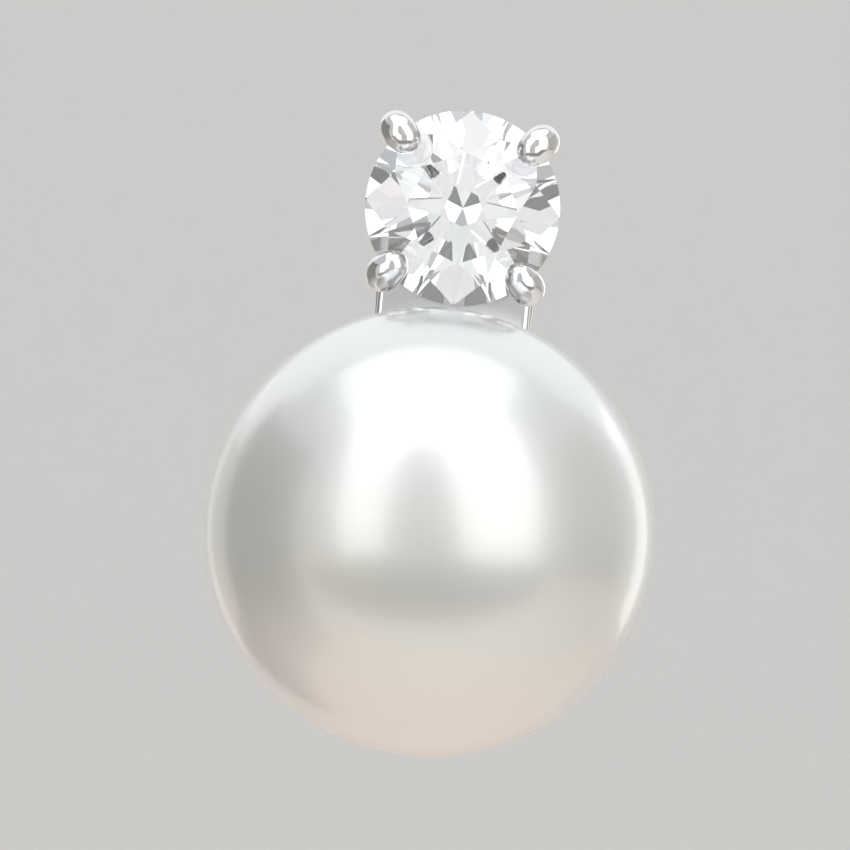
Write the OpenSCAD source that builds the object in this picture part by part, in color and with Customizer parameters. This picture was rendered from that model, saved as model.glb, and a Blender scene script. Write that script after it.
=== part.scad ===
// Clip-on earring: a round pearl below a claw-set brilliant stone, on a sprung clip.
// The origin is the middle of the clip's gap, on the stone's axis.
// The stone's table faces -Y and the pearl hangs below it, towards -Z.

/* [Pearl] */
// Diameter of the pearl
pearl_d = 11; // [9:0.5:13]
// How far the pearl's centre lies below the stone's centre
pearl_drop = 7.9; // [7.5:0.1:9]
// Depth of the drilled hole that takes the peg
pearl_hole_depth = 5; // [4:0.2:6]

/* [Stone] */
// Diameter of the stone at its girdle
stone_d = 4.8; // [4:0.1:5.2]
// Width of the table as a share of the girdle's diameter
table_share = 0.57; // [0.53:0.01:0.62]
// Slope of the eight main crown facets
crown_angle = 34.5; // [32:0.5:36]
// Slope of the eight main pavilion facets
pavilion_angle = 40.8; // [40:0.2:42]
// Height of the girdle at the points of the main facets
girdle_h = 0.14; // [0.1:0.01:0.18]
// How far the star facets reach from the table's edge to the girdle, as a share
star_share = 0.55; // [0.5:0.01:0.6]
// How far the lower halves reach from the girdle to the culet, as a share
lower_half_share = 0.77; // [0.72:0.01:0.82]

/* [Setting] */
// Diameter of the round wire of a claw
claw_d = 0.8; // [0.7:0.02:0.9]
// Diameter of the round wire of the two gallery rings
ring_wire_d = 0.5; // [0.4:0.05:0.6]
// Thickness of the back plate
plate_t = 0.6; // [0.5:0.1:0.8]
// Diameter of the pearl cup inside its rim
cup_d = 5.2; // [4.4:0.2:5.6]
// Width of the rim of the pearl cup
cup_rim_w = 0.3; // [0.25:0.05:0.4]
// Diameter of the peg inside the pearl
peg_d = 1; // [0.8:0.1:1.2]
// Diameter of the two rivet shanks that hold the clip
rivet_d = 1.1; // [1:0.1:1.3]

/* [Clip] */
// Gap between the front leg and the pad, when the clip grips something
grip_gap = 4.5; // [4.3:0.1:5.5]
// Thickness of the spring strap
strap_t = 0.7; // [0.6:0.1:0.9]
// Width of the strap at its bend
strap_w = 3.4; // [3:0.2:4]
// Diameter of the pad
pad_d = 4.6; // [4.4:0.1:4.8]
// Thickness of the pad
pad_t = 0.8; // [0.6:0.1:1]
// How far the inside of the bend lies below the pearl's centre
bend_below_pearl = 1.9; // [1.5:0.1:2.5]

/* [Hidden] */
$fn = 96;

// Clearances between pieces that are not soldered to each other
piece_gap = 0.05;
stone_gap = 0.04;

// Distances towards the front, measured from the middle of the clip's gap
leg_back = grip_gap / 2;
leg_front = leg_back + strap_t;
plate_back = leg_front + piece_gap;
plate_front = plate_back + plate_t;
culet_lift = 0.25;
culet_front = plate_front + culet_lift;
cup_floor_t = 0.15;
pearl_front = plate_front + cup_floor_t + piece_gap + pearl_d / 2;

// Stone, measured from its culet
stone_r = stone_d / 2;
table_r = stone_r * table_share;
girdle_low = stone_r * tan(pavilion_angle);
girdle_high = girdle_low + girdle_h;
table_h = girdle_high + (stone_r - table_r) * tan(crown_angle);
main_count = 8;
half_angle = 180 / main_count;
// Flat steps of the round girdle along one half facet
girdle_steps = 4;
girdle_points = 2 * main_count * girdle_steps;
table_edge_r = table_r * cos(half_angle);
star_r = table_edge_r + star_share * (stone_r - table_edge_r);
star_h = table_h - (star_r * cos(half_angle) - table_r) * tan(crown_angle);
lower_half_r = (1 - lower_half_share) * stone_r;
lower_half_h = lower_half_r * cos(half_angle) * tan(pavilion_angle);

// Claws and gallery, measured from the plate's front and from the stone's axis
claw_count = 4;
claw_first_angle = 45;
claw_foot_r = 0.7 * stone_r;
claw_bead_d = 1.3 * claw_d;
claw_bead_r = stone_r + 0.13;
claw_bead_h = culet_lift + girdle_high + 0.3;
claw_lean = (claw_bead_r - claw_foot_r) / claw_bead_h;
claw_sink = plate_t / 2;
base_ring_h = 0.3 * ring_wire_d;
base_ring_r = claw_foot_r + claw_lean * base_ring_h;
gallery_h = 1.3;
gallery_r = claw_foot_r + claw_lean * gallery_h;
plate_stone_r = stone_r - 0.1;
plate_neck_w = 3.8;

// Peg, holes and rivets
peg_l = pearl_hole_depth - 0.4;
peg_tip_l = 0.2;
pearl_hole_d = peg_d + 2 * piece_gap;
rivet_heights = [0, -0.6 * pearl_drop];
rivet_flare = 0.3;
rivet_flare_l = 0.35;
rivet_recess = 0.02;

// Clip, in its side view
back_leg_y = grip_gap / 2 + pad_t;
bend_in_r = (leg_back + back_leg_y) / 2;
bend_out_r = bend_in_r + strap_t;
bend_y = back_leg_y - bend_in_r;
bend_z = bend_in_r - pearl_drop - bend_below_pearl;
end_r = pad_d / 2 - 0.2;
end_w = 1.96 * end_r;
far = 30;

// Puts a shape that was drawn lying on its back into the frame: its own +Z turns to the front
module facing_front(distance, height = 0) {
    translate([0, -distance, height])
        rotate([90, 0, 0])
            children();
}

// Extrudes a side view, drawn as [y, z], to both sides of the middle plane
module across(width) {
    rotate([90, 0, 90])
        linear_extrude(height = width, center = true)
            children();
}

// Extrudes a front view, drawn as [x, z], from one distance to the front to another
module along_depth(from, to) {
    facing_front(from)
        linear_extrude(height = to - from)
            children();
}

// A round wire from one point to another
module wire(from, to, d) {
    run = to - from;
    length = norm(run);
    translate(from)
        rotate([0, acos(run.z / length), atan2(run.y, run.x)])
            cylinder(h = length, d = d);
}

// A ring of round wire
module ring(radius, height, wire_d) {
    translate([0, 0, height])
        rotate_extrude()
            translate([radius, 0])
                circle(d = wire_d);
}

module pearl() {
    color("ivory")
        facing_front(pearl_front, -pearl_drop)
            difference() {
                sphere(d = pearl_d);
                translate([0, 0, -pearl_d])
                    cylinder(h = pearl_d / 2 + pearl_hole_depth, d = pearl_hole_d);
            }
}

// A point on the circle of that radius at that angle and height
function around(radius, angle, height) = [radius * cos(angle), radius * sin(angle), height];

// Height at which the plane through three points meets the upright through [x, y]
function plane_height(p, q, r, x, y) =
    let (normal = cross(q - p, r - p))
    p.z - (normal.x * (x - p.x) + normal.y * (y - p.y)) / normal.z;

// Height of the girdle's edge at an angle, where a half facet meets the round girdle
function edge_height(angle, tip_r, tip_h, rim_h) =
    let (main = floor(angle / (2 * half_angle) + 0.5) * 2 * half_angle,
         side = angle < main ? -1 : 1,
         tip = around(tip_r, main + side * half_angle, tip_h),
         rim_main = around(stone_r, main, rim_h),
         rim_half = around(stone_r, main + side * half_angle, rim_h))
    plane_height(tip, rim_main, rim_half, stone_r * cos(angle), stone_r * sin(angle));

function girdle_ring(tip_r, tip_h, rim_h) = [
    for (i = [0 : girdle_points - 1])
        let (angle = i * 360 / girdle_points)
        around(stone_r, angle, edge_height(angle, tip_r, tip_h, rim_h))
];

// Round brilliant cut with its culet at the origin and its table facing +Z.
// The main facets lie at multiples of 45 degrees, and half facets meet between them.
module brilliant() {
    mains = [0 : main_count - 1];
    table_points = [for (k = mains) around(table_r, 2 * k * half_angle, table_h)];
    star_points = [for (k = mains) around(star_r, (2 * k + 1) * half_angle, star_h)];
    upper_edge = girdle_ring(star_r, star_h, girdle_high);
    lower_edge = girdle_ring(lower_half_r, lower_half_h, girdle_low);
    lower_points = [for (k = mains) around(lower_half_r, (2 * k + 1) * half_angle, lower_half_h)];
    culet = [[0, 0, 0]];

    // Index of each ring's first point
    star0 = main_count;
    upper0 = 2 * main_count;
    lower0 = upper0 + girdle_points;
    tip0 = lower0 + girdle_points;
    culet0 = tip0 + main_count;
    function table_i(k) = (k + main_count) % main_count;
    function star_i(k) = star0 + table_i(k);
    function tip_i(k) = tip0 + table_i(k);
    function upper_i(i) = upper0 + (i + girdle_points) % girdle_points;
    function lower_i(i) = lower0 + (i + girdle_points) % girdle_points;

    table_facet = [[for (k = [main_count - 1 : -1 : 0]) table_i(k)]];
    star_facets = [for (k = mains) [table_i(k), table_i(k + 1), star_i(k)]];
    crown_mains = [for (k = mains) [table_i(k), star_i(k), upper_i(2 * k * girdle_steps), star_i(k - 1)]];
    upper_halves = [
        for (k = mains, side = [0, 1])
            let (first = (2 * k + side) * girdle_steps)
            concat([star_i(k)], [for (i = [girdle_steps : -1 : 0]) upper_i(first + i)])
    ];
    girdle_facets = [
        for (i = [0 : girdle_points - 1])
            [upper_i(i), upper_i(i + 1), lower_i(i + 1), lower_i(i)]
    ];
    lower_halves = [
        for (k = mains, side = [0, 1])
            let (first = (2 * k + side) * girdle_steps)
            concat([tip_i(k)], [for (i = [0 : girdle_steps]) lower_i(first + i)])
    ];
    pavilion_mains = [for (k = mains) [culet0, tip_i(k - 1), lower_i(2 * k * girdle_steps), tip_i(k)]];

    polyhedron(
        points = concat(table_points, star_points, upper_edge, lower_edge, lower_points, culet),
        faces = concat(table_facet, star_facets, crown_mains, upper_halves, girdle_facets,
                       lower_halves, pavilion_mains));
}

module stone() {
    color("white")
        facing_front(culet_front)
            brilliant();
}

// The room that the stone takes in the basket, round and a little larger than the stone
module stone_room() {
    grow = stone_gap / cos(crown_angle);
    rotate_extrude()
        polygon([
            [0, culet_lift - grow],
            [stone_r + stone_gap, culet_lift + girdle_low - grow],
            [stone_r + stone_gap, culet_lift + girdle_high + grow],
            [table_r, culet_lift + table_h + grow],
            [0, culet_lift + table_h + grow]
        ]);
}

// One claw: it leans out from inside the plate and ends in a bead that laps over the crown
module claw() {
    foot = [claw_foot_r - claw_lean * claw_sink, 0, -claw_sink];
    bead = [claw_bead_r, 0, claw_bead_h];
    wire(foot, bead, claw_d);
    translate(bead)
        sphere(d = claw_bead_d);
}

// Basket on the plate's front, with its axis along +Z
module basket() {
    difference() {
        union() {
            for (i = [0 : claw_count - 1])
                rotate([0, 0, claw_first_angle + i * 360 / claw_count])
                    claw();
            ring(base_ring_r, base_ring_h, ring_wire_d);
            ring(gallery_r, gallery_h, ring_wire_d);
        }
        stone_room();
    }
}

// Back plate, drawn in the front view: round behind the stone and behind the pearl
module plate_outline() {
    circle(r = plate_stone_r);
    translate([0, -pearl_drop])
        circle(d = cup_d);
    translate([-plate_neck_w / 2, -pearl_drop])
        square([plate_neck_w, pearl_drop]);
}

// Cup whose hollow follows the pearl, standing on the plate's front
module pearl_cup() {
    cup_r = cup_d / 2;
    hollow_r = pearl_d / 2 + piece_gap;
    hollow_z = cup_floor_t + hollow_r;
    rim_h = hollow_z - sqrt(hollow_r * hollow_r - cup_r * cup_r);
    rotate_extrude()
        difference() {
            polygon([
                [0, 0],
                [cup_r - rim_h, 0],
                [cup_r + cup_rim_w, rim_h],
                [cup_r, rim_h + cup_rim_w / 3],
                [0, rim_h + cup_rim_w / 3]
            ]);
            translate([0, hollow_z])
                circle(r = hollow_r, $fn = 256);
        }
}

// Peg with a tapered tip, standing on the cup's floor
module peg() {
    cylinder(h = peg_l, d = peg_d);
    translate([0, 0, peg_l])
        cylinder(h = peg_tip_l, d1 = peg_d, d2 = peg_d / 2);
}

// Rivet shank behind the plate, flared where it is set flush in the clip's front leg
module rivet(grow = 0, recess = rivet_recess) {
    length = strap_t + piece_gap - recess;
    translate([0, 0, -length]) {
        cylinder(h = length, d = rivet_d + 2 * grow);
        cylinder(h = rivet_flare_l, d1 = rivet_d + 2 * rivet_flare + 2 * grow, d2 = rivet_d + 2 * grow);
    }
}

module setting() {
    color("gainsboro") {
        along_depth(plate_back, plate_front)
            plate_outline();
        facing_front(plate_front)
            basket();
        facing_front(plate_front, -pearl_drop) {
            pearl_cup();
            peg();
        }
        for (height = rivet_heights)
            facing_front(plate_back, height)
                rivet();
    }
}

// Side view of the strap: two straight legs joined by a half-round bend
module strap_side() {
    leg_l = end_r - bend_z;
    translate([bend_y, bend_z]) {
        difference() {
            circle(r = bend_out_r);
            circle(r = bend_in_r);
            translate([-far, 0])
                square([2 * far, far]);
        }
        translate([-bend_out_r, 0])
            square([strap_t, leg_l]);
        translate([bend_in_r, 0])
            square([strap_t, leg_l]);
    }
}

// Front view of a leg: it widens from the bend to a round end behind the stone
module leg_outline() {
    circle(r = end_r);
    polygon([
        [-strap_w / 2, -far], [strap_w / 2, -far], [strap_w / 2, bend_z],
        [end_w / 2, 0], [-end_w / 2, 0], [-strap_w / 2, bend_z]
    ]);
}

module ear_clip() {
    color("silver")
        difference() {
            union() {
                intersection() {
                    across(pad_d)
                        strap_side();
                    along_depth(-far, far)
                        leg_outline();
                }
                along_depth(-back_leg_y - strap_t / 2, -grip_gap / 2)
                    circle(d = pad_d);
            }
            for (height = rivet_heights)
                facing_front(plate_back, height)
                    rivet(piece_gap, 0);
        }
}

pearl();
stone();
setting();
ear_clip();
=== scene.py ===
import math

import bmesh
import bpy
from mathutils import Matrix, Vector, noise


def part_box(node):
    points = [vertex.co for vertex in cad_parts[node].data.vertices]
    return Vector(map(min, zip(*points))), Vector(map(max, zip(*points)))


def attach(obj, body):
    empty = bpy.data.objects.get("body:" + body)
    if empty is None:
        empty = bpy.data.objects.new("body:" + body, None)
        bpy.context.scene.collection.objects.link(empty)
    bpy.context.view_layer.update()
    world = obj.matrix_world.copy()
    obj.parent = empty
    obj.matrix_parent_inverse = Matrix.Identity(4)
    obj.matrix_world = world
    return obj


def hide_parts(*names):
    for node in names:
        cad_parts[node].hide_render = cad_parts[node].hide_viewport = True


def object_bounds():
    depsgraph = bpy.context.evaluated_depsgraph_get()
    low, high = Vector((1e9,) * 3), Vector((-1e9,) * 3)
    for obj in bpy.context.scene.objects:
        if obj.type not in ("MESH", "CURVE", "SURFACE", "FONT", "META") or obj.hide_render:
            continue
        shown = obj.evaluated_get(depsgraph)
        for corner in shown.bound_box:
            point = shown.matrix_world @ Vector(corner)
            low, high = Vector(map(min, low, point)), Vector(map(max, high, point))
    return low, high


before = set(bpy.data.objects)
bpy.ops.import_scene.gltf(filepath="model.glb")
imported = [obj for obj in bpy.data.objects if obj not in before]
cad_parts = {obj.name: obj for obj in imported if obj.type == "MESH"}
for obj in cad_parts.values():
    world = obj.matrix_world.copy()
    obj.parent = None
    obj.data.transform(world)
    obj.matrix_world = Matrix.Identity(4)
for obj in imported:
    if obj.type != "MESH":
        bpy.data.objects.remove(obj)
cad_low, cad_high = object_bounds()

# The pieces are drawn in millimetres as (right, up, front) and turned into the frame at the end
MM = 0.001
DRAWN_TO_FRAME = Matrix(((MM, 0, 0, 0), (0, 0, -MM, 0), (0, MM, 0, 0), (0, 0, 0, 1)))

# Points closer than this are one point
TINY = 1e-6
# Points closer than this are joined, where parts of a piece meet and after a cut
WELD_DIST = 0.0005
# Steps of a quarter round on an edge or a wire's end
EDGE_STEPS = 6
# Sides of a wire with domed ends
WIRE_SIDES = 28


def node_box(name):
    """A CAD node's box in millimetres: centre and size along right, up and front."""
    low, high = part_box(name)
    middle, size = (low + high) / 2 / MM, (high - low) / MM
    return Vector((middle.x, middle.z, -middle.y)), Vector((size.x, size.z, size.y))


# Pearl and stone, from the frame
pearl_mid, pearl_size = node_box("pearl")
PEARL_R = round(pearl_size.x / 2, 1)
PEARL_UP = round(pearl_mid.y, 1)
stone_mid, stone_size = node_box("stone")
STONE_R = round(stone_size.x / 2, 1)
CULET_FRONT = stone_mid.z - stone_size.z / 2

# Clearances, thicknesses and distances towards the front, as in the CAD model
PIECE_GAP = 0.05
STONE_GAP = 0.04
GRIP_GAP = 4.5
STRAP_T = 0.7
PLATE_T = 0.6
CUP_FLOOR_T = 0.15
PLATE_BACK = GRIP_GAP / 2 + STRAP_T + PIECE_GAP
PLATE_FRONT = PLATE_BACK + PLATE_T
PEARL_FRONT = PLATE_FRONT + CUP_FLOOR_T + PIECE_GAP + PEARL_R


def soften(value, low, high):
    """A smooth step from 0 at low to 1 at high."""
    t = min(1.0, max(0.0, (value - low) / (high - low)))
    return t * t * (3 - 2 * t)


def spline(points, steps):
    """A smooth run of points through the given ones, each a tuple of any length."""
    padded = [points[0]] + list(points) + [points[-1]]
    out = []
    for p0, p1, p2, p3 in zip(padded, padded[1:], padded[2:], padded[3:]):
        for i in range(steps):
            t = i / steps
            out.append(tuple(
                0.5 * (2 * b + (c - a) * t + (2 * a - 5 * b + 4 * c - d) * t * t
                       + (3 * b - a - 3 * c + d) * t ** 3)
                for a, b, c, d in zip(p0, p1, p2, p3)))
    return out + [tuple(points[-1])]


def bridge(bm, ring_a, ring_b, closed=True):
    """Faces between two rings or rows of the same length, or between a ring and a single point."""
    if len(ring_a) == 1 and len(ring_b) == 1:
        return
    count = max(len(ring_a), len(ring_b))
    for i in range(count if closed else count - 1):
        j = (i + 1) % count
        corners = [ring_a[i % len(ring_a)], ring_a[j % len(ring_a)],
                   ring_b[j % len(ring_b)], ring_b[i % len(ring_b)]]
        face = [v for k, v in enumerate(corners) if v not in corners[:k]]
        bm.faces.new(face)


def add_ring(bm, centre, right, up, radius, steps):
    """Points round a circle that lies in the plane of two directions, or its centre if it is tiny."""
    if radius < TINY:
        return [bm.verts.new(centre)]
    turn = [2 * math.pi * k / steps for k in range(steps)]
    return [bm.verts.new(centre + radius * (right * math.cos(a) + up * math.sin(a))) for a in turn]


def lathe(bm, profile, centre=(0.0, 0.0), steps=96, closed=False):
    """A surface turned about a line along the third axis, from (radius, height) points."""
    right, up = Vector((1, 0, 0)), Vector((0, 1, 0))
    rings = [add_ring(bm, Vector((*centre, height)), right, up, radius, steps) for radius, height in profile]
    if closed:
        rings.append(rings[0])
    for ring_a, ring_b in zip(rings, rings[1:]):
        bridge(bm, ring_a, ring_b)


def arc(radius, start, end, centre=(0.0, 0.0), steps=48):
    """Points along an arc whose ends are given in degrees."""
    turn = [math.radians(start + (end - start) * k / steps) for k in range(steps + 1)]
    return [(centre[0] + radius * math.cos(a), centre[1] + radius * math.sin(a)) for a in turn]


def rounded_edge(rim, back, front, fillet):
    """Points (outwards, front) from the back face round an edge to the front face."""
    inner = rim - fillet
    return (arc(fillet, -90, 0, (inner, back + fillet), EDGE_STEPS)
            + arc(fillet, 0, 90, (inner, front - fillet), EDGE_STEPS))


def disc(bm, radius, back, front, fillet):
    """A round plate with rounded edges."""
    lathe(bm, [(0.0, back), *rounded_edge(radius, back, front, fillet), (0.0, front)])


def flat_bar(bm, outline, back, front, fillet, closed=True):
    """A flat bar with rounded edges. Its outline is a function of how far the edge is moved outwards."""
    loops = []
    for shift, depth in rounded_edge(0, back, front, fillet):
        loops.append([bm.verts.new((x, y, depth)) for x, y in outline(shift)])
    for loop_a, loop_b in zip(loops, loops[1:]):
        bridge(bm, loop_a, loop_b, closed)
    bm.faces.new(loops[0][::-1])
    bm.faces.new(loops[-1])


def dome(end, outwards):
    """The stations of a domed end of a wire, from the one next to the wire to the tip."""
    centre, right, up, radius = end
    turn = [math.pi / 2 * k / EDGE_STEPS for k in range(1, EDGE_STEPS + 1)]
    return [(centre + outwards * radius * math.sin(a), right, up, radius * math.cos(a)) for a in turn]


def tube(bm, points, radii):
    """A round wire along the points, with a radius at each point and domed ends."""
    wire = []
    right = (points[1] - points[0]).orthogonal()
    for i, point in enumerate(points):
        along = (points[min(i + 1, len(points) - 1)] - points[max(i - 1, 0)]).normalized()
        right = (right - along * right.dot(along)).normalized()
        wire.append((point, right, along.cross(right), radii[i]))
    first_way = (points[0] - points[1]).normalized()
    last_way = (points[-1] - points[-2]).normalized()
    stations = dome(wire[0], first_way)[::-1] + wire + dome(wire[-1], last_way)
    rings = [add_ring(bm, *station, WIRE_SIDES) for station in stations]
    for ring_a, ring_b in zip(rings, rings[1:]):
        bridge(bm, ring_a, ring_b)


def finished_mesh(obj):
    """Gives the object the mesh that its modifiers make of it."""
    graph = bpy.context.evaluated_depsgraph_get()
    mesh = bpy.data.meshes.new_from_object(obj.evaluated_get(graph))
    obj.modifiers.clear()
    old = obj.data
    obj.data = mesh
    bpy.data.meshes.remove(old)
    return obj


def loose_object(name, bm):
    """An object for the mesh that was built."""
    bmesh.ops.recalc_face_normals(bm, faces=bm.faces)
    mesh = bpy.data.meshes.new(name)
    bm.to_mesh(mesh)
    bm.free()
    obj = bpy.data.objects.new(name, mesh)
    bpy.context.scene.collection.objects.link(obj)
    return obj


def fuse(obj, voxel):
    """Fuses overlapping closed shells into one skin whose inner corners are soft, as solder leaves them."""
    remesh = obj.modifiers.new("skin", "REMESH")
    remesh.mode = "VOXEL"
    remesh.voxel_size = voxel
    smooth = obj.modifiers.new("soften", "SMOOTH")
    smooth.factor = 0.5
    smooth.iterations = 5
    return finished_mesh(obj)


def weld(obj):
    """Joins the points of slivers that a cut leaves, so that the skin stays closed."""
    bm = bmesh.new()
    bm.from_mesh(obj.data)
    bmesh.ops.triangulate(bm, faces=bm.faces)
    bmesh.ops.remove_doubles(bm, verts=bm.verts, dist=WELD_DIST)
    bmesh.ops.dissolve_degenerate(bm, edges=bm.edges, dist=WELD_DIST)
    bm.to_mesh(obj.data)
    bm.free()


def cut(obj, *cutters):
    """Takes each cutter's volume out of the object."""
    for cutter in cutters:
        step = obj.modifiers.new("cut", "BOOLEAN")
        step.operation = "DIFFERENCE"
        step.solver = "EXACT"
        step.object = cutter
    finished_mesh(obj)
    for cutter in cutters:
        mesh = cutter.data
        bpy.data.objects.remove(cutter)
        bpy.data.meshes.remove(mesh)
    weld(obj)
    return obj


def settle(obj, material, node, sharp_angle=40):
    """Puts a finished piece into the frame in place of its CAD node."""
    obj.data.transform(DRAWN_TO_FRAME)
    for polygon in obj.data.polygons:
        polygon.use_smooth = True
    obj.data.set_sharp_from_angle(angle=math.radians(sharp_angle))
    obj.data.materials.clear()
    obj.data.materials.append(material)
    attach(obj, "root")
    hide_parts(node)


class Material:
    """A Principled material with short ways to add procedural detail in millimetres."""

    def __init__(self, name):
        self.material = bpy.data.materials.new(name)
        self.material.use_nodes = True
        self.nodes = self.material.node_tree.nodes
        self.links = self.material.node_tree.links
        self.shader = self.nodes["Principled BSDF"]
        self.place = self.nodes.new("ShaderNodeTexCoord").outputs["Object"]

    def set(self, **values):
        """Sets the shader's own values, whose names are written with underscores."""
        for name, value in values.items():
            self.shader.inputs[name.replace("_", " ")].default_value = value

    def noise(self, per_mm, detail, crowd=(1, 1, 1)):
        """Soft noise with about that many spots to a millimetre, and more along a crowded axis."""
        mapping = self.nodes.new("ShaderNodeMapping")
        mapping.inputs["Scale"].default_value = [share * per_mm / MM for share in crowd]
        self.links.new(self.place, mapping.inputs["Vector"])
        texture = self.nodes.new("ShaderNodeTexNoise")
        texture.inputs["Scale"].default_value = 1.0
        texture.inputs["Detail"].default_value = detail
        self.links.new(mapping.outputs["Vector"], texture.inputs["Vector"])
        return texture.outputs["Fac"]

    def spread(self, source, low, high, from_low=0.3, from_high=0.7):
        """Maps a texture's middle range onto the given values."""
        node = self.nodes.new("ShaderNodeMapRange")
        node.inputs["From Min"].default_value = from_low
        node.inputs["From Max"].default_value = from_high
        node.inputs["To Min"].default_value = low
        node.inputs["To Max"].default_value = high
        self.links.new(source, node.inputs["Value"])
        return node.outputs["Result"]

    def along(self, axis, low, high):
        """Runs from 0 to 1 between two places along one axis, in millimetres."""
        split = self.nodes.new("ShaderNodeSeparateXYZ")
        self.links.new(self.place, split.inputs["Vector"])
        return self.spread(split.outputs[axis], 0.0, 1.0, low * MM, high * MM)

    def mix_values(self, first, second, share):
        """A blend of two values, with that share of the second."""
        node = self.nodes.new("ShaderNodeMix")
        node.inputs["Factor"].default_value = share
        self.links.new(first, node.inputs["A"])
        self.links.new(second, node.inputs["B"])
        return node.outputs["Result"]

    def ramp(self, source, *stops):
        """Colours by a texture's value: each stop is (place, colour)."""
        node = self.nodes.new("ShaderNodeValToRGB")
        elements = node.color_ramp.elements
        while len(elements) < len(stops):
            elements.new(0.5)
        for element, (place, colour) in zip(elements, stops):
            element.position = place
            element.color = (*colour, 1)
        self.links.new(source, node.inputs["Fac"])
        return node.outputs["Color"]

    def feed(self, source, socket):
        """Lets a texture drive one of the shader's values."""
        self.links.new(source, self.shader.inputs[socket])

    def bumps(self, *layers):
        """Bump layers on top of each other: each is (height source, depth in mm, strength)."""
        normal = None
        for source, depth, strength in layers:
            node = self.nodes.new("ShaderNodeBump")
            node.inputs["Distance"].default_value = depth * MM
            node.inputs["Strength"].default_value = strength
            self.links.new(source, node.inputs["Height"])
            if normal is not None:
                self.links.new(normal, node.inputs["Normal"])
            normal = node.outputs["Normal"]
        self.links.new(normal, self.shader.inputs["Normal"])
        self.links.new(normal, self.shader.inputs["Coat Normal"])


def nacre():
    """White nacre: a soft gloss under a clear coat. Its colour drifts from a painted rose reflection of warm
    light at the bottom to cool white at the top, with real patches of overtone.
    """
    made = Material("nacre")
    # Platelets in the nacre mirror more than a plain gloss does, hence the share of metal
    made.set(Metallic=0.62, Roughness=0.33, IOR=1.5, Coat_Weight=1.0, Coat_Roughness=0.12, Coat_IOR=1.5)
    # Painted reflection: the base colour is rose towards the bottom as warm light reflected from below and
    # cool white towards the top, mixed with real patches of overtone from the noise
    height = made.along(2, PEARL_UP - PEARL_R, PEARL_UP + PEARL_R)
    painted_warmth_and_patches = made.mix_values(height, made.noise(0.16, detail=3.0), 0.3)
    painted_warm_rose, green_grey, cool_white = (0.84, 0.765, 0.72), (0.77, 0.775, 0.735), (0.80, 0.81, 0.81)
    overtone_and_painted_warmth = made.ramp(painted_warmth_and_patches, (0.18, painted_warm_rose), (0.42, green_grey), (0.7, cool_white))
    made.feed(overtone_and_painted_warmth, "Base Color")
    swells = made.noise(0.5, detail=2.0)
    grain = made.noise(9.0, detail=4.0)
    made.bumps((swells, 0.03, 0.35), (grain, 0.004, 0.25))
    return made.material


def gem():
    """A clear stone. Each facet gets a faint painted tint, which stands in for the coloured fire of light
    that the cut splits.
    """
    made = Material("gem")
    made.set(Roughness=0.0, IOR=2.17, Transmission_Weight=1.0)
    # Painted fire: each facet's direction picks a faint colour
    facet = made.nodes.new("ShaderNodeTexNoise")
    facet.inputs["Scale"].default_value = 2.3
    made.links.new(made.nodes["Texture Coordinate"].outputs["Normal"], facet.inputs["Vector"])
    green, white, violet, blue = (0.86, 1.0, 0.94), (0.97, 1.0, 1.0), (0.98, 0.95, 1.0), (0.87, 0.94, 1.0)
    painted_fire = made.ramp(facet.outputs["Fac"], (0.36, green), (0.46, white), (0.56, violet), (0.66, blue))
    made.feed(painted_fire, "Base Color")
    return made.material


# How bright the duller patches of a metal are beside the rest
DULL_SHARE = 0.965


def white_metal(name, colour, roughness, crowd, scratches):
    """Polished metal whose gloss varies within a range, with fine scratches across the crowded axis."""
    made = Material(name)
    made.set(Metallic=1.0)
    made.feed(made.spread(made.noise(0.7, detail=4.0), *roughness), "Roughness")
    dull = tuple(DULL_SHARE * c for c in colour)
    made.feed(made.ramp(made.noise(0.45, detail=5.0), (0.35, dull), (0.55, colour)), "Base Color")
    waves = made.noise(1.3, detail=1.0)
    lines = made.noise(7.0, detail=3.0, crowd=crowd)
    made.bumps((waves, 0.01, 0.2), (lines, 0.003, scratches))
    return made.material


# Pearl
# Cuts along each edge of the cube that is rounded into the ball
PEARL_CUTS = 56
HOLE_R = 0.55
HOLE_DEPTH = 5.0
HOLE_TIP = 0.3
# How strong the swells are, how close together, and where in the noise they start
OUT_OF_ROUND = 0.035
SWELL_SCALE = 0.9
SWELL_START = Vector((3.1, 0.7, 1.9))
# The swells fade out between these two shares of the way to the back, where the cup holds the pearl
SWELL_FADE = (0.75, 0.95)


def make_pearl():
    """A drilled pearl: a ball that is a little out of round, as real ones are."""
    bm = bmesh.new()
    bmesh.ops.create_cube(bm, size=2)
    bmesh.ops.subdivide_edges(bm, edges=bm.edges, cuts=PEARL_CUTS, use_grid_fill=True)
    centre = Vector((0, PEARL_UP, PEARL_FRONT))
    for vert in bm.verts:
        # The tangent spreads a cube's grid evenly over the ball
        way = Vector([math.tan(c * math.pi / 4) for c in vert.co]).normalized()
        swell = noise.noise(way * SWELL_SCALE + SWELL_START)
        front_share = 1 - soften(-way.z, *SWELL_FADE)
        vert.co = centre + way * (PEARL_R + OUT_OF_ROUND * (swell - 0.5) * front_share)
    pearl = loose_object("pearl_ball", bm)
    drill = bmesh.new()
    back = PEARL_FRONT - PEARL_R
    tip = back + HOLE_DEPTH
    # The drill starts a little outside the pearl
    hole = [(0, back - 1), (HOLE_R, back - 1), (HOLE_R, tip - HOLE_TIP), (0, tip)]
    lathe(drill, hole, (0, PEARL_UP), steps=48)
    return cut(pearl, loose_object("drill", drill))


# Stone: a round brilliant, measured from its culet
TABLE_SHARE = 0.57
CROWN_ANGLE = math.radians(34.5)
PAVILION_ANGLE = math.radians(40.8)
GIRDLE_H = 0.14
STAR_SHARE = 0.55
LOWER_HALF_SHARE = 0.77
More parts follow.
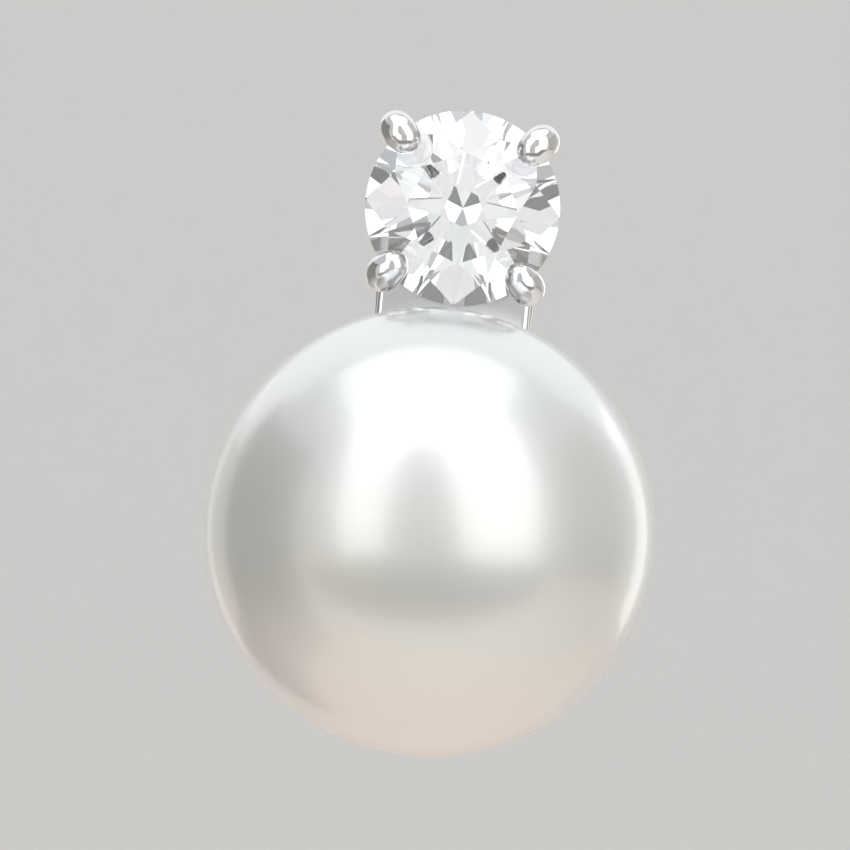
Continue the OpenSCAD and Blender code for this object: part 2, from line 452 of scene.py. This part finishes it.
# Main facets, the half angle between them, and flat steps of the girdle along one half facet
MAINS = 8
HALF_ANGLE = math.pi / MAINS
GIRDLE_STEPS = 8
TABLE_R = STONE_R * TABLE_SHARE
GIRDLE_LOW = STONE_R * math.tan(PAVILION_ANGLE)
GIRDLE_HIGH = GIRDLE_LOW + GIRDLE_H
TABLE_H = GIRDLE_HIGH + (STONE_R - TABLE_R) * math.tan(CROWN_ANGLE)


def around(radius, angle, height):
    """A point on a circle about the third axis."""
    return Vector((radius * math.cos(angle), radius * math.sin(angle), height))


def half_facet_height(tip, rim_a, rim_b, point):
    """Height at which the half facet's plane meets the upright through the point."""
    normal = (rim_a - tip).cross(rim_b - tip)
    return tip.z - (normal.x * (point.x - tip.x) + normal.y * (point.y - tip.y)) / normal.z


def girdle_edge(bm, tip_r, tip_h, rim_h):
    """The wavy edge where the half facets meet the round girdle."""
    ring = []
    count = 2 * MAINS * GIRDLE_STEPS
    for i in range(count):
        angle = 2 * math.pi * i / count
        step = i // GIRDLE_STEPS
        main = (step + 1) // 2 * 2 * HALF_ANGLE
        tip_angle = (step // 2 * 2 + 1) * HALF_ANGLE
        tip = around(tip_r, tip_angle, tip_h)
        point = around(STONE_R, angle, 0)
        rim_main = around(STONE_R, main, rim_h)
        rim_half = around(STONE_R, tip_angle, rim_h)
        point.z = half_facet_height(tip, rim_main, rim_half, point)
        ring.append(bm.verts.new(point))
    return ring


def make_stone():
    """The stone's table, stars, mains, halves and girdle, as flat facets."""
    bm = bmesh.new()
    table_edge_r = TABLE_R * math.cos(HALF_ANGLE)
    star_r = table_edge_r + STAR_SHARE * (STONE_R - table_edge_r)
    star_h = TABLE_H - (star_r * math.cos(HALF_ANGLE) - TABLE_R) * math.tan(CROWN_ANGLE)
    lower_r = (1 - LOWER_HALF_SHARE) * STONE_R
    lower_h = lower_r * math.cos(HALF_ANGLE) * math.tan(PAVILION_ANGLE)
    mains = range(MAINS)
    table = [bm.verts.new(around(TABLE_R, 2 * k * HALF_ANGLE, TABLE_H)) for k in mains]
    stars = [bm.verts.new(around(star_r, (2 * k + 1) * HALF_ANGLE, star_h)) for k in mains]
    upper = girdle_edge(bm, star_r, star_h, GIRDLE_HIGH)
    lower = girdle_edge(bm, lower_r, lower_h, GIRDLE_LOW)
    tips = [bm.verts.new(around(lower_r, (2 * k + 1) * HALF_ANGLE, lower_h)) for k in mains]
    culet = bm.verts.new((0, 0, 0))
    count = len(upper)
    bm.faces.new(table)
    for k in mains:
        after, before = (k + 1) % MAINS, (k - 1) % MAINS
        main = 2 * k * GIRDLE_STEPS
        bm.faces.new((table[k], table[after], stars[k]))
        bm.faces.new((table[k], stars[k], upper[main], stars[before]))
        bm.faces.new((culet, tips[before], lower[main], tips[k]))
        for side in (0, 1):
            rim = [(main + side * GIRDLE_STEPS + i) % count for i in range(GIRDLE_STEPS + 1)]
            bm.faces.new([stars[k]] + [upper[i] for i in rim])
            bm.faces.new([tips[k]] + [lower[i] for i in rim])
    for i in range(count):
        j = (i + 1) % count
        bm.faces.new((upper[i], upper[j], lower[j], lower[i]))
    bmesh.ops.translate(bm, verts=bm.verts, vec=(0, 0, CULET_FRONT))
    return loose_object("stone_brilliant", bm)


# Setting
# Claws, whose foot and bead are placed by their distances from the stone's axis
CLAWS = 4
CLAW_R = 0.4
CLAW_FOOT_R = 0.7 * STONE_R
CLAW_BEAD_R = STONE_R + 0.13
CLAW_BEAD_H = CULET_FRONT - PLATE_FRONT + GIRDLE_HIGH + 0.3
CLAW_LEAN = (CLAW_BEAD_R - CLAW_FOOT_R) / CLAW_BEAD_H
# Gallery rings, at these heights above the plate
RING_WIRE_R = 0.25
RING_HEIGHTS = (0.15, 1.3)
# Back plate
PLATE_STONE_R = STONE_R - 0.1
PLATE_NECK_W = 3.8
PLATE_FILLET = 0.13
# Pearl's cup
CUP_R = 2.6
CUP_RIM_W = 0.3
CUP_STEPS = 14
# Peg, which ends a little short of the bottom of the pearl's hole
PEG_R = 0.5
PEG_SHORT_BY = 0.4
PEG_TIP = 0.2
# Rivets, at these heights, with a flared end that lies a little below the strap's face
RIVET_R = 0.55
RIVET_FLARE = 0.3
RIVET_FLARE_L = 0.35
RIVET_UPS = (0.0, 0.6 * PEARL_UP)
RIVET_RECESS = 0.02
# Parts that are soldered together overlap by this much, and a cutter sticks out by as much
OVERLAP = 0.2
SETTING_VOXEL = 0.055


def add_claw(bm, angle):
    """A leaning wire that swells into a bead and bends over the stone's edge."""
    way = Vector((math.cos(angle), math.sin(angle), 0))
    foot, bead = -PLATE_T / 2, CLAW_BEAD_H
    # Distance from the stone's axis, height above the plate and radius of the wire
    rows = [
        (CLAW_FOOT_R + CLAW_LEAN * foot, foot, CLAW_R + 0.06),
        (CLAW_FOOT_R + CLAW_LEAN * 0.25, 0.25, CLAW_R + 0.03),
        (CLAW_FOOT_R + CLAW_LEAN * 1.3, 1.3, CLAW_R),
        (CLAW_BEAD_R - CLAW_LEAN * 0.7, bead - 0.7, CLAW_R - 0.01),
        (CLAW_BEAD_R + 0.03, bead - 0.12, CLAW_R + 0.04),
        (CLAW_BEAD_R - 0.1, bead + 0.14, CLAW_R + 0.06),
        (CLAW_BEAD_R - 0.3, bead + 0.24, CLAW_R + 0.01),
    ]
    run = spline(rows, steps=8)
    points = [way * r + Vector((0, 0, PLATE_FRONT + h)) for r, h, _ in run]
    tube(bm, points, [w for _, _, w in run])


def stone_room():
    """The room that the stone takes, with a small clearance."""
    bm = bmesh.new()
    grow = STONE_GAP / math.cos(CROWN_ANGLE)
    rim = STONE_R + STONE_GAP
    # Distance from the stone's axis and height above its culet
    profile = [(0, -grow), (rim, GIRDLE_LOW - grow), (rim, GIRDLE_HIGH + grow),
               (TABLE_R, TABLE_H + grow), (0, TABLE_H + grow)]
    lathe(bm, [(r, CULET_FRONT + h) for r, h in profile], steps=128)
    return loose_object("stone_room", bm)


def cup_profile():
    """Half section of the pearl's cup: a flared wall whose hollow follows the pearl."""
    hollow_r = PEARL_R + PIECE_GAP
    hollow_up = PEARL_FRONT - PLATE_FRONT
    rim_h = hollow_up - math.sqrt(hollow_r ** 2 - CUP_R ** 2)
    foot_r = CUP_R - rim_h + 0.14
    rim_r = CUP_R + CUP_RIM_W
    # Distance from the pearl's axis and height above the plate
    foot = [(0.0, -OVERLAP), (foot_r, -OVERLAP), (foot_r, 0.02), (foot_r - 0.04, 0.14)]
    rim = [(CUP_R + 0.12, rim_h - 0.16), (rim_r - 0.05, rim_h - 0.05), (rim_r, rim_h + 0.02),
           (rim_r - 0.05, rim_h + 0.09), (CUP_R + 0.1, rim_h + 0.09)]
    hollow = []
    for i in range(CUP_STEPS + 1):
        radius = (CUP_R + 0.04) * (1 - i / CUP_STEPS)
        hollow.append((radius, hollow_up - math.sqrt(hollow_r ** 2 - radius ** 2)))
    return [(r, PLATE_FRONT + h) for r, h in foot + rim + hollow]


def plate_outline(shift):
    """Round behind the stone and behind the pearl, with a straight neck between."""
    half = PLATE_NECK_W / 2 + shift
    stone_end, cup_end = PLATE_STONE_R + shift, CUP_R + shift
    stone_neck, cup_neck = (math.degrees(math.acos(half / radius)) for radius in (stone_end, cup_end))
    return (arc(cup_end, 180 - cup_neck, 360 + cup_neck, (0, PEARL_UP))
            + arc(stone_end, -stone_neck, 180 + stone_neck))


def rivet_profile(grow, recess):
    """Half section of a rivet or its hole, whose flared end starts that far inside the strap's back face."""
    back = GRIP_GAP / 2 + recess
    shank_r = RIVET_R + grow
    return [(0, back), (shank_r + RIVET_FLARE, back), (shank_r, back + RIVET_FLARE_L),
            (shank_r, PLATE_BACK + OVERLAP), (0, PLATE_BACK + OVERLAP)]


def make_setting():
    """Back plate, claw basket, pearl cup, peg and rivets, soldered into one piece of metal."""
    bm = bmesh.new()
    flat_bar(bm, plate_outline, PLATE_BACK, PLATE_FRONT, PLATE_FILLET)
    for k in range(CLAWS):
        add_claw(bm, math.pi * (2 * k + 1) / CLAWS)
    for height in RING_HEIGHTS:
        middle = (CLAW_FOOT_R + CLAW_LEAN * height, PLATE_FRONT + height)
        lathe(bm, arc(RING_WIRE_R, 0, 360, middle, steps=20)[:-1], closed=True)
    lathe(bm, cup_profile(), (0, PEARL_UP), steps=128)
    end = PLATE_FRONT + HOLE_DEPTH - PEG_SHORT_BY
    tip = end + PEG_TIP
    peg = [(0, PLATE_FRONT), (PEG_R, PLATE_FRONT), (PEG_R, end), (PEG_R / 2, tip), (0, tip)]
    lathe(bm, peg, (0, PEARL_UP), steps=32)
    for up in RIVET_UPS:
        lathe(bm, rivet_profile(0, RIVET_RECESS), (0, up), steps=48)
    setting = fuse(loose_object("claw_setting", bm), SETTING_VOXEL)
    return cut(setting, stone_room())


# Ear clip
PAD_R = 2.3
PAD_T = 0.8
PAD_FILLET = 0.25
END_R = PAD_R - 0.2
STRAP_W = 3.4
BEND_BELOW_PEARL = 1.9
BACK_LEG = GRIP_GAP / 2 + PAD_T
BEND_IN_R = (GRIP_GAP / 2 + BACK_LEG) / 2
BEND_FRONT = BEND_IN_R - BACK_LEG
BEND_UP = BEND_IN_R + PEARL_UP - BEND_BELOW_PEARL
BEND_STEPS = 64
STRAP_FILLET = 0.16
CLIP_VOXEL = 0.062


def leg_outline(shift):
    """From the bend's right end round the leg's far end to the bend's left end."""
    low, radius = STRAP_W / 2 + shift, END_R + shift
    tangent = math.degrees(math.atan2(BEND_UP, low) + math.acos(radius / math.hypot(low, BEND_UP)))
    return [(low, BEND_UP), *arc(radius, tangent, 180 - tangent), (-low, BEND_UP)]


def add_bend(bm):
    """The half-round bend: the strap's rounded section swept round the bend's axis."""
    right = rounded_edge(STRAP_W / 2, BEND_IN_R, BEND_IN_R + STRAP_T, STRAP_FILLET)
    section = right + [(-x, out) for x, out in reversed(right)]
    rings = []
    for i in range(BEND_STEPS + 1):
        turn = math.pi * i / BEND_STEPS
        rings.append([
            bm.verts.new((x, BEND_UP - out * math.sin(turn), BEND_FRONT + out * math.cos(turn)))
            for x, out in section])
    for ring_a, ring_b in zip(rings, rings[1:]):
        bridge(bm, ring_a, ring_b)


def make_clip():
    """A spring strap bent into a U, with a pad on its back leg and two countersunk holes."""
    bm = bmesh.new()
    for back in (GRIP_GAP / 2, -BACK_LEG - STRAP_T):
        flat_bar(bm, leg_outline, back, back + STRAP_T, STRAP_FILLET, closed=False)
    add_bend(bm)
    bmesh.ops.remove_doubles(bm, verts=bm.verts, dist=WELD_DIST)
    disc(bm, PAD_R, -BACK_LEG - OVERLAP, -GRIP_GAP / 2, PAD_FILLET)
    clip = fuse(loose_object("spring_clip", bm), CLIP_VOXEL)
    holes = []
    for up in RIVET_UPS:
        hole = bmesh.new()
        lathe(hole, rivet_profile(PIECE_GAP, -OVERLAP), (0, up), steps=64)
        holes.append(loose_object("rivet_hole", hole))
    return cut(clip, *holes)


# The photograph's view, where a window of 70 by 70 of its pixels fills the frame
WINDOW_PX = 70
WINDOW_MIDDLE_PX = (381.0, 537.0)
PEARL_MIDDLE_PX = (381.4, 545.8)
PEARL_D_PX = 37.2
MM_PER_PX = 2 * PEARL_R / PEARL_D_PX
# The earring hangs a little askew in the photograph
ROLL = math.radians(5.6)
# The camera's direction from the pearl in degrees, and half of its angle of view
CAMERA_AZIMUTH = 0.5
CAMERA_ELEVATION = 1.2
HALF_FIELD = math.radians(1.6)
SENSOR = 36.0
PEARL_PLACE = Vector((0, -PEARL_FRONT, PEARL_UP)) * MM


def way_from_pearl(azimuth, elevation):
    """A direction given in degrees. Azimuth 0 is the front, and it grows to the right."""
    a, e = math.radians(azimuth), math.radians(elevation)
    return Vector((math.sin(a) * math.cos(e), -math.cos(a) * math.cos(e), math.sin(e)))


def make_camera():
    """A camera that shows the pearl at its place and size in the photograph's window."""
    data = bpy.data.cameras.new("camera")
    data.sensor_width = SENSOR
    data.lens = SENSOR / 2 / math.tan(HALF_FIELD)
    data.clip_start, data.clip_end = 0.01, 10
    camera = bpy.data.objects.new("camera", data)
    bpy.context.scene.collection.objects.link(camera)
    back = way_from_pearl(CAMERA_AZIMUTH, CAMERA_ELEVATION)
    level = (-back).to_track_quat("-Z", "Y").to_matrix()
    turned = level @ Matrix.Rotation(ROLL, 3, "Z")
    right, up = turned.col[0], turned.col[1]
    per_px = MM_PER_PX * MM
    shift_right = (WINDOW_MIDDLE_PX[0] - PEARL_MIDDLE_PX[0]) * per_px
    shift_up = (PEARL_MIDDLE_PX[1] - WINDOW_MIDDLE_PX[1]) * per_px
    target = PEARL_PLACE + right * shift_right + up * shift_up
    distance = WINDOW_PX / 2 * per_px / math.tan(HALF_FIELD)
    camera.matrix_world = Matrix.Translation(target + back * distance) @ turned.to_4x4()
    bpy.context.scene.camera = camera


# Stage and light, in metres. Lights and flags stand round the pearl and lean with the camera's roll
PHOTO_FRAME = Matrix.Translation(PEARL_PLACE) @ Matrix.Rotation(-ROLL, 4, "Y")
FLAG_R = 0.2
FLAG_STEPS = 24
# Share of a flag's height over which it fades from its low colour
FLAG_FADE = 1 / 3
# Least share of its height that a bowl keeps at its ends
BOWL_END = 0.1
DARK_CARD = (0.27, 0.27, 0.26)
LOW_CARD = (0.34, 0.34, 0.33)
MID_CARD = (0.41, 0.4, 0.39)
LIGHT_CARD = (0.585, 0.57, 0.55)
FLOOR_DROP = 0.2
FLOOR_R = 0.42
FLOOR_STEPS = 6
WALL_R = 0.7
WALL_H = 0.42
# Height at which the wall's colour stops changing
SHADE_TOP = 0.02


def make_floor():
    """A pale floor whose far edge curves up all round, so that no horizon shows."""
    bm = bmesh.new()
    floor = cad_low.z - FLOOR_DROP
    bend = WALL_R - FLOOR_R
    flat = [(FLOOR_R * k / FLOOR_STEPS, floor) for k in range(FLOOR_STEPS)]
    curve = arc(bend, -90, 0, (FLOOR_R, floor + bend), steps=16)
    lathe(bm, [*flat, *curve, (WALL_R, floor + WALL_H)], steps=128)
    floor_object = loose_object("floor", bm)
    for polygon in floor_object.data.polygons:
        polygon.use_smooth = True
    made = Material("floor")
    made.set(Roughness=0.7)
    warm, pale, grey = (0.86, 0.80, 0.75), (0.77, 0.755, 0.735), (0.77, 0.77, 0.77)
    shade = made.ramp(made.along(2, floor / MM, SHADE_TOP / MM), (0.1, warm), (0.55, pale), (1.0, grey))
    made.feed(shade, "Base Color")
    floor_object.data.materials.append(made.material)


def softbox(name, azimuth, elevation, distance, width, height, radiance, colour, stone_only=False):
    """A soft light that faces the pearl. Its radiance is how bright its face looks, whatever its size.

    One that is for the stone only shows nowhere else.
    """
    way = way_from_pearl(azimuth, elevation)
    data = bpy.data.lights.new(name, "AREA")
    data.shape = "RECTANGLE"
    data.size, data.size_y = width, height
    data.energy = radiance * math.pi * width * height
    data.color = colour
    light = bpy.data.objects.new(name, data)
    facing = (-way).to_track_quat("-Z", "Y").to_matrix().to_4x4()
    light.matrix_world = PHOTO_FRAME @ Matrix.Translation(way * distance) @ facing
    light.visible_camera = False
    light.visible_diffuse = light.visible_glossy = not stone_only
    bpy.context.scene.collection.objects.link(light)


def add_flag(name, azimuths, elevations, colour, low_colour, bowl=False, through_stone=False):
    """A flag is a grey card that shows in the gloss of the pieces, where it gives their shapes an edge.

    It is seen nowhere else, unless it shows through the stone too. It fades to the low colour at its
    foot. The lower edge of a bowl is half an ellipse.
    """
    bm = bmesh.new()
    columns = []
    for i in range(FLAG_STEPS + 1):
        share = i / FLAG_STEPS
        drop = elevations[1] - elevations[0]
        if bowl:
            drop *= max(math.sqrt(1 - (2 * share - 1) ** 2), BOWL_END)
        azimuth = azimuths[0] + (azimuths[1] - azimuths[0]) * share
        columns.append([
            bm.verts.new(way_from_pearl(azimuth, elevations[1] - drop * k / FLAG_STEPS) * FLAG_R)
            for k in range(FLAG_STEPS + 1)])
    for left, right in zip(columns, columns[1:]):
        bridge(bm, left, right, closed=False)
    flag = loose_object(name, bm)
    flag.matrix_world = PHOTO_FRAME
    flag.visible_camera = flag.visible_diffuse = flag.visible_shadow = False
    flag.visible_transmission = through_stone
    made = Material(name)
    made.set(Roughness=0.9)
    low, high = (FLAG_R / MM * math.sin(math.radians(elevation)) for elevation in elevations)
    made.feed(made.ramp(made.along(2, low, high), (0.0, low_colour), (FLAG_FADE, colour)), "Base Color")
    flag.data.materials.append(made.material)


def make_flags():
    """Flags below the pearl and at its sides."""
    add_flag("flag_low", azimuths=(-65, 66), elevations=(-43, -14),
             colour=LOW_CARD, low_colour=LOW_CARD, bowl=True, through_stone=True)
    add_flag("flag_left", azimuths=(-128, -71), elevations=(-46, 34),
             colour=DARK_CARD, low_colour=LIGHT_CARD)
    add_flag("flag_low_left", azimuths=(-150, -128), elevations=(-46, -18),
             colour=MID_CARD, low_colour=LIGHT_CARD)
    add_flag("flag_right", azimuths=(70, 115), elevations=(-16, 34),
             colour=LIGHT_CARD, low_colour=MID_CARD)


def make_lights():
    """Soft lights above, in front of and behind the pearl, and an even world."""
    softbox("overhead", azimuth=0, elevation=78, distance=0.43, width=0.56, height=0.56,
            radiance=0.89, colour=(0.97, 0.99, 1.0))
    softbox("front_left", azimuth=-34, elevation=23, distance=0.45, width=0.22, height=0.57,
            radiance=0.96, colour=(1.0, 1.0, 1.0))
    softbox("front_right", azimuth=38, elevation=21, distance=0.45, width=0.38, height=0.6,
            radiance=0.96, colour=(1.0, 0.995, 0.99))
    softbox("behind", azimuth=180, elevation=40, distance=0.45, width=0.85, height=0.34,
            radiance=0.39, colour=(0.99, 1.0, 1.0))
    softbox("rim_left", azimuth=-153, elevation=2, distance=0.45, width=0.08, height=0.3,
            radiance=0.25, colour=(1.0, 0.99, 0.97))
    softbox("rim_right", azimuth=140, elevation=2, distance=0.45, width=0.12, height=0.34,
            radiance=0.8, colour=(0.99, 1.0, 0.98))
    # Brightens the facets
    softbox("fire", azimuth=0, elevation=4, distance=0.4, width=0.34, height=0.34,
            radiance=0.4, colour=(1.0, 1.0, 1.0), stone_only=True)
    world = bpy.data.worlds.new("studio")
    world.use_nodes = True
    background = world.node_tree.nodes["Background"]
    background.inputs["Color"].default_value = (0.6, 0.61, 0.62, 1)
    background.inputs["Strength"].default_value = 1.0
    bpy.context.scene.world = world
    bpy.context.scene.view_settings.view_transform = "Standard"


make_camera()
setting_metal = white_metal("setting_metal", colour=(0.86, 0.86, 0.87), roughness=(0.06, 0.16),
                            crowd=(1, 1, 8), scratches=0.2)
clip_metal = white_metal("clip_metal", colour=(0.82, 0.82, 0.83), roughness=(0.1, 0.18),
                         crowd=(8, 1, 1), scratches=0.3)
settle(make_pearl(), nacre(), "pearl")
settle(make_stone(), gem(), "stone", sharp_angle=3)
settle(make_setting(), setting_metal, "setting")
settle(make_clip(), clip_metal, "ear_clip")
make_floor()
make_flags()
make_lights()
